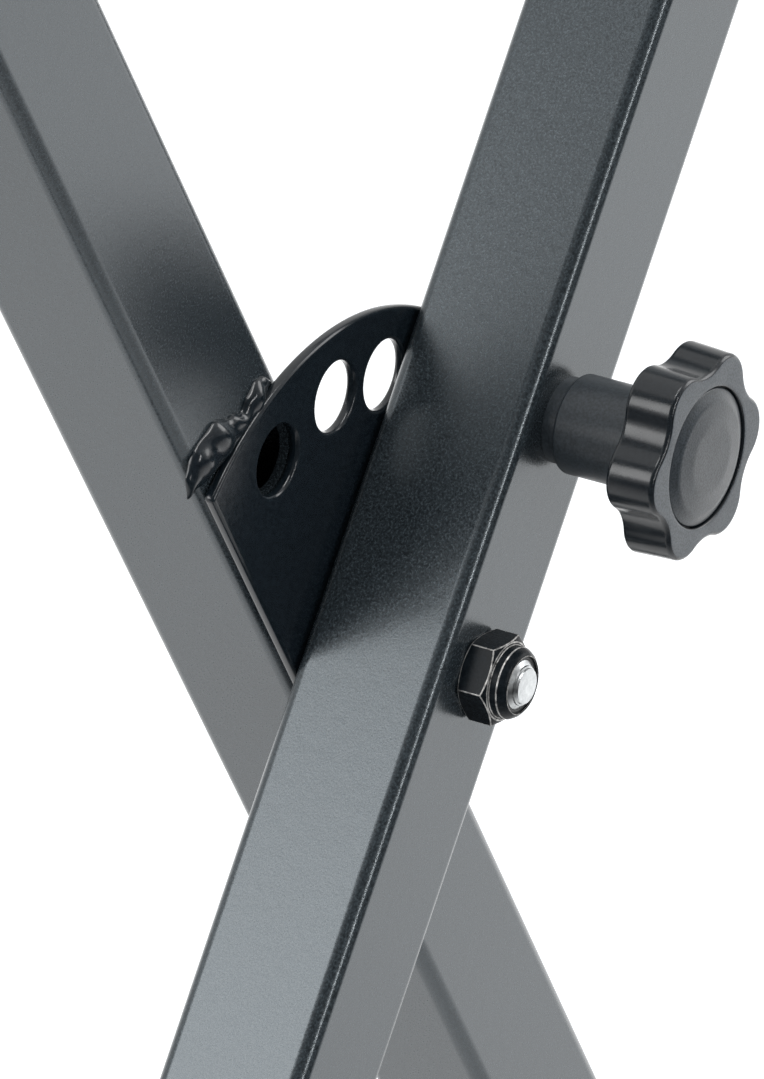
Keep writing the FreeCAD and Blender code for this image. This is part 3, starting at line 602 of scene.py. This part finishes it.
def knob_rings():
    """Rings of the knob from its neck round the bore, the star and the recess: whether the
    ring is a star, its radius or how far the star is moved out, and its level."""
    bore = GUIDE_RADIUS + 0.3 * MM
    recess = 11.4 * MM
    slope = math.tan(KNOB_DRAFT)
    back_round = 0.8 * MM
    front_round = 0.8 * MM
    lip = 0.3 * MM
    rings = [(0, 2.55 * MM, KNOB_SEAT), (0, bore, KNOB_SEAT), (0, bore, KNOB_BACK + 0.4 * MM),
             (0, bore + 0.4 * MM, KNOB_BACK), (0, bore + 1.6 * MM, KNOB_BACK)]
    for step in range(6):
        turn = math.pi / 2 * step / 5
        level = KNOB_BACK + back_round * (1 - math.cos(turn))
        grow = slope * (KNOB_FRONT - level) - back_round * (1 - math.sin(turn))
        rings.append((1, grow, level))
    for step in range(6):
        turn = math.pi / 2 * step / 5
        level = KNOB_FRONT - front_round * (1 - math.sin(turn))
        grow = slope * (KNOB_FRONT - level) - front_round * (1 - math.cos(turn))
        rings.append((1, grow, level))
    rings.append((0, recess + lip + 0.5 * MM, KNOB_FRONT))
    for step in range(4):
        turn = math.pi / 2 * step / 3
        rings.append((0, recess + lip * (1 - math.sin(turn)), KNOB_FRONT - lip * (1 - math.cos(turn))))
    return rings + [(0, recess, KNOB_WEB), (0, 2.55 * MM, KNOB_WEB)]


def star_knob():
    """Moulded star grip, drawn from a ring of edges, ring after ring."""
    rings = knob_rings()
    bm = bmesh.new()
    start = bmesh.ops.create_circle(bm, segments=KNOB_LOBES * 40, radius=rings[0][1])["verts"]
    bmesh.ops.translate(bm, vec=(0, 0, KNOB_SEAT), verts=start)
    first = bm.edges[:]
    last = first
    for star, size, level in rings[1:]:
        made = bmesh.ops.extrude_edge_only(bm, edges=last)["geom"]
        for vert in (item for item in made if isinstance(item, bmesh.types.BMVert)):
            turn = math.atan2(vert.co.y, vert.co.x)
            reach = star_radius(turn, size) if star else size
            vert.co = (reach * math.cos(turn), reach * math.sin(turn), level)
        last = [item for item in made if isinstance(item, bmesh.types.BMEdge)]
    bmesh.ops.bridge_loops(bm, edges=last + first)
    moved(tidy(bm), lock_front)
    face_y = (lock_front @ Vector((0, 0, KNOB_FRONT - 0.15 * MM))).y

    def finish(middle, normal):
        return 1 if middle.y < face_y and normal.y < -0.9 else 0

    piece("star_knob", bm, "lock_knob", [KNOB_GLOSS, KNOB_GRAIN], ["lock_knob"],
          pick=finish)


def knob_cap():
    """Domed disc in the knob's recess, hollowed over the clip."""
    rim = 11.2 * MM
    under = KNOB_WEB + 1.2 * MM
    cap = lathe([
        (0, under), (5.4 * MM, under), (5.4 * MM, KNOB_WEB), (rim, KNOB_WEB),
        (rim, KNOB_FRONT - 0.45 * MM, 0.5 * MM), (rim - 2 * MM, KNOB_FRONT + 0.45 * MM, 3 * MM),
        (rim - 5.5 * MM, KNOB_FRONT + 0.86 * MM, 9 * MM), (0, KNOB_FRONT + 0.9 * MM),
    ], 128, loop=True, steps=8)
    piece("domed_knob_cap", moved(cap, lock_front), "lock_knob", [CAP_GRAIN],
          ["lock_knob_cap"])


def lock_housing():
    """Turned guide on the near tube: its spigot holds the spring, its bore the pin."""
    guide = lathe([
        (4.08 * MM, -1.5 * MM), (5.9 * MM, -1.5 * MM), (5.9 * MM, -9.5 * MM), (7 * MM, -9.5 * MM),
        (7 * MM, GUIDE_FOOT), (GUIDE_RADIUS, GUIDE_FOOT, 0.6 * MM),
        (GUIDE_RADIUS, GUIDE_TOP, 0.6 * MM), (4.08 * MM, GUIDE_TOP),
    ], 128)
    piece("turned_lock_guide", moved(guide, lock_front), "near_leg", [TURNED],
          ["lock_guide"])


# ------------------------------------------------------------ bars
def bar_set(name, body, leg_frame, middle, out, reach, length):
    """A bar, the saddle welded to its leg, and their two bolts."""
    centre = Matrix.Translation((0, 0, out * reach))
    along = centre @ facing_front
    half = length / 2
    inner = BAR_RADIUS - BAR_WALL
    edge = 0.4 * MM
    tube = lathe([(inner, -half, edge), (BAR_RADIUS, -half, edge), (BAR_RADIUS, half, edge),
                  (inner, half, edge)], 96, steps=3)
    piece(f"{name}_round_bar", moved(tube, leg_frame @ along), body, [POWDER],
          [f"{name}_bar"])
    low = BAR_RADIUS + SADDLE_FIT
    high = low + SADDLE_THICK
    bm = bmesh.new()
    side = SADDLE_LENGTH / 2
    corners = [bm.verts.new((r, middle + y, 0)) for r, y in
               ((low, -side), (high, -side), (high, side), (low, side))]
    section = [bm.edges.new((corners[i], corners[(i + 1) % 4])) for i in range(4)]
    turned = bmesh.ops.spin(bm, geom=corners + section, axis=(0, 1, 0), cent=(0, 0, 0),
                            angle=out * math.pi, steps=48)
    bmesh.ops.holes_fill(bm, edges=bm.edges[:])
    bmesh.ops.recalc_face_normals(bm, faces=bm.faces[:])
    upright = [line for line in bm.edges
               if abs(line.verts[0].co.z) < 1e-6 and abs(line.verts[1].co.z) < 1e-6
               and abs(line.verts[0].co.y - line.verts[1].co.y) < 1e-6]
    bmesh.ops.bevel(bm, geom=upright, offset=5 * MM, offset_type="OFFSET", segments=6, profile=0.5,
                    affect="EDGES", material=-1)
    piece(f"{name}_half_saddle", moved(bm, leg_frame @ centre), body, [POWDER],
          [f"{name}_saddle"], edge=0.4 * MM, sharp=40)
    bolts = bmesh.new()
    turn = Matrix.Rotation(math.pi if out > 0 else 0, 4, "X")
    for step in (-1, 1):
        head = hexagon_prism(10 * MM, 4 * MM)
        shank = rod(3 * MM, 14 * MM, 32, Matrix.Translation((0, 0, -3 * MM)))
        head = carve(head, [shank], "UNION")
        seat = Matrix.Translation((0, middle + step * BOLT_PITCH / 2, out * (reach - high)))
        moved(head, leg_frame @ seat @ turn)
        mesh = bpy.data.meshes.new("bolt")
        head.to_mesh(mesh)
        head.free()
        bolts.from_mesh(mesh)
        bpy.data.meshes.remove(mesh)
    piece(f"{name}_hex_bolts", bolts, body, [BLACK_NUT], [f"{name}_bolts"],
          edge=0.15 * MM)


def rubber_ends(name, body, leg_frame, middle, out, reach, length, kind):
    """The moulded rubber over both ends of a bar: foot caps with a flat tread, or sleeves."""
    foot = kind == "cap"
    outside = (35 if foot else 32) / 2 * MM
    end = (4 if foot else 3) * MM
    inside = BAR_RADIUS + 0.05 * MM
    bar_end = leg_frame @ Vector((0, 0, out * reach))
    for side, place_name in ((-1, "front"), (1, "back")):
        if foot:
            mouth = -42 * MM
        else:
            mouth = SADDLE_LENGTH / 2 + side * middle + 8 * MM - length / 2
        cup = lathe([(0, 0.05 * MM), (inside, 0.05 * MM), (inside, mouth),
                     (outside, mouth, 1.2 * MM), (outside, end, 2.5 * MM), (0, end)], 96)
        if foot:
            cup = trim_tread(cup)
        turn = facing_back if side > 0 else facing_front
        place = Matrix.Translation(bar_end + Vector((0, side * length / 2, 0))) @ turn
        piece(f"{name}_{kind}_{place_name}_rubber", moved(cup, place), body, [RUBBER],
              [f"{name}_{kind}_{place_name}"])


def trim_tread(cup):
    """Cuts the flat tread under a foot cap, whose y axis is upright."""
    block = bmesh.new()
    bmesh.ops.create_cube(block, size=0.1)
    bmesh.ops.translate(block, vec=(0, -0.05 - 16.7 * MM, 0), verts=block.verts[:])
    return carve(cup, [block])


# ------------------------------------------------------------ the stand
leg_tubes()
sector_plate()
weld_beads()
pivot_nut()
pivot_bolt()
star_knob()
knob_cap()
lock_housing()
for leg, leg_frame, middle in (("near", near_frame, -LEG_MIDDLE), ("far", far_frame, LEG_MIDDLE)):
    body = f"{leg}_leg"
    bar_set(f"{leg}_foot", body, leg_frame, middle, -1, FOOT_REACH, 440 * MM)
    rubber_ends(f"{leg}_foot", body, leg_frame, middle, -1, FOOT_REACH, 440 * MM, "cap")
    bar_set(f"{leg}_arm", body, leg_frame, middle, 1, ARM_REACH, 350 * MM)
    rubber_ends(f"{leg}_arm", body, leg_frame, middle, 1, ARM_REACH, 350 * MM, "sleeve")

CARRIED = {
    "near_spacer": ZINC, "far_spacer": ZINC, "gap_washer": NYLON, "rear_washer": ZINC,
    "lock_pin": ZINC, "lock_pin_clip": ZINC, "lock_spring": ZINC,
}
for node, material in CARRIED.items():
    mesh = frame["nodes"][node].data
    mesh.materials.clear()
    mesh.materials.append(material)


# ------------------------------------------------------------ floor, light and camera
def falloff(tree, place, low, high, least):
    """1 at the back and the right, falling to least towards the camera's side."""
    toward = add(tree, "VectorMath", {0: place, 1: (-0.6, -0.8, 0.0)}, operation="DOT_PRODUCT")
    return add(tree, "MapRange", {"Value": toward.outputs["Value"], "From Min": low,
                                  "From Max": high, "To Min": 1.0, "To Max": least})


def studio_floor():
    """A pale sweep that glows just enough to reach white, so that it keeps a soft shadow.
    Mirrors see it end towards the camera."""
    bm = bmesh.new()
    bmesh.ops.create_grid(bm, x_segments=1, y_segments=1, size=40)
    floor = to_object(bm, "studio_floor")
    material, tree, shader, place = begin("studio_floor")
    shader.inputs["Base Color"].default_value = linear("#d8dadc")
    shader.inputs["Roughness"].default_value = 0.9
    path = add(tree, "LightPath")
    glow = add(tree, "Emission", {"Color": (1, 1, 1, 1), "Strength": 0.55})
    white = add(tree, "AddShader", {0: shader.outputs["BSDF"], 1: glow.outputs["Emission"]})
    shade = falloff(tree, place, 0.1, 0.5, 0.05)
    across = add(tree, "SeparateXYZ", {"Vector": place})
    right = add(tree, "MapRange", {"Value": across.outputs["X"], "From Min": 0.15, "From Max": 0.75,
                                   "To Min": 1.2, "To Max": 1.75})
    level = add(tree, "Math", {0: shade.outputs["Result"], 1: right.outputs["Result"]},
                operation="MULTIPLY")
    seen = add(tree, "Emission", {"Color": (1, 1, 1, 1), "Strength": level.outputs["Value"]})
    mirror = add(tree, "Math", {0: path.outputs["Is Glossy Ray"],
                                1: path.outputs["Is Transmission Ray"]}, operation="MAXIMUM")
    lit = add(tree, "MixShader", {0: mirror.outputs["Value"], 1: shader.outputs["BSDF"],
                                  2: seen.outputs["Emission"]})
    mix = add(tree, "MixShader", {0: path.outputs["Is Camera Ray"], 1: lit.outputs["Shader"],
                                  2: white.outputs["Shader"]})
    tree.links.new(mix.outputs["Shader"], tree.nodes["Material Output"].inputs["Surface"])
    floor.data.materials.append(material)


def room():
    """A pale room, darker on the camera's side, and white to the camera."""
    world = bpy.data.worlds.new("room")
    bpy.context.scene.world = world
    world.use_nodes = True
    tree = world.node_tree
    lit = tree.nodes["Background"]
    lit.inputs["Color"].default_value = linear("#eef2f6")
    lit.inputs["Strength"].default_value = 0.8
    path = add(tree, "LightPath")
    place = add(tree, "TexCoord").outputs["Generated"]
    shade = falloff(tree, place, 0.15, 0.7, 0.1)
    level = add(tree, "Math", {0: shade.outputs["Result"], 1: path.outputs["Is Camera Ray"]},
                operation="MAXIMUM")
    white = add(tree, "Background", {"Color": (1, 1, 1, 1), "Strength": level.outputs["Value"]})
    mirror = add(tree, "Math", {0: path.outputs["Is Glossy Ray"],
                                1: path.outputs["Is Transmission Ray"]}, operation="MAXIMUM")
    seen = add(tree, "Math", {0: path.outputs["Is Camera Ray"], 1: mirror.outputs["Value"]},
               operation="MAXIMUM")
    mix = add(tree, "MixShader", {0: seen.outputs["Value"], 1: lit.outputs["Background"],
                                  2: white.outputs["Background"]})
    tree.links.new(mix.outputs["Shader"], tree.nodes["World Output"].inputs["Surface"])


def lamp(name, place, width, height, power, along):
    """A soft box that faces the pivot, with its height along that direction."""
    light = bpy.data.lights.new(name, "AREA")
    light.shape = "RECTANGLE"
    light.size = width
    light.size_y = height
    light.energy = power
    back = (Vector(place) - PIVOT).normalized()
    side = Vector(along).cross(back).normalized()
    up = back.cross(side)
    thing = bpy.data.objects.new(name, light)
    bpy.context.scene.collection.objects.link(thing)
    thing.matrix_world = Matrix.Translation(place) @ Matrix((side, up, back)).transposed().to_4x4()


def lamps():
    """One box behind on the left that the near leg's lower half mirrors, one at the right,
    a strip in front that draws a line along rounded corners, and one overhead that draws
    the lines on the plate's arc, the weld and the knob's rim."""
    leg = near_frame.to_3x3() @ Vector((0, 0, 1))
    lamp("left_box", PIVOT + Vector((-1.04, 0.624, 0.48)), 0.7, 0.62, 6.6, leg)
    lamp("right_box", (1.9, -1.3, 1.6), 1.4, 1.4, 20, (0, 0, 1))
    lamp("strip", PIVOT + Vector((-0.30, -2.4, 0.75)), 0.1, 1.6, 14, leg)
    lamp("top_strip", PIVOT + Vector((-0.35, -0.35, 2.2)), 0.25, 1.5, 16, (1, 0, 0))


def camera():
    """The photograph's camera, fitted on the tubes, plate, nut and knob."""
    azimuth, elevation, roll = 1.02154898, 0.404984271, 0.0317253
    back = Vector((-math.sin(azimuth) * math.cos(elevation),
                   -math.cos(azimuth) * math.cos(elevation), math.sin(elevation)))
    right = (-back).cross(Vector((0, 0, 1))).normalized()
    up = right.cross(-back)
    tilted = math.cos(roll) * right + math.sin(roll) * up
    risen = math.cos(roll) * up - math.sin(roll) * right
    shift = Vector((-15.228, 20.911, 1595.21)) * MM
    centre = PIVOT + front_face + tilted * shift.x + risen * shift.y + back * shift.z
    data = bpy.data.cameras.new("camera")
    data.sensor_fit = "AUTO"
    data.sensor_width = 36
    data.lens = 10199.5 * 36 / 1079
    data.clip_end = 100
    thing = bpy.data.objects.new("camera", data)
    bpy.context.scene.collection.objects.link(thing)
    thing.matrix_world = Matrix.Translation(centre) @ Matrix(
        (tilted, risen, back)).transposed().to_4x4()
    bpy.context.scene.camera = thing


studio_floor()
room()
lamps()
camera()
bpy.context.scene.view_settings.view_transform = "Standard"
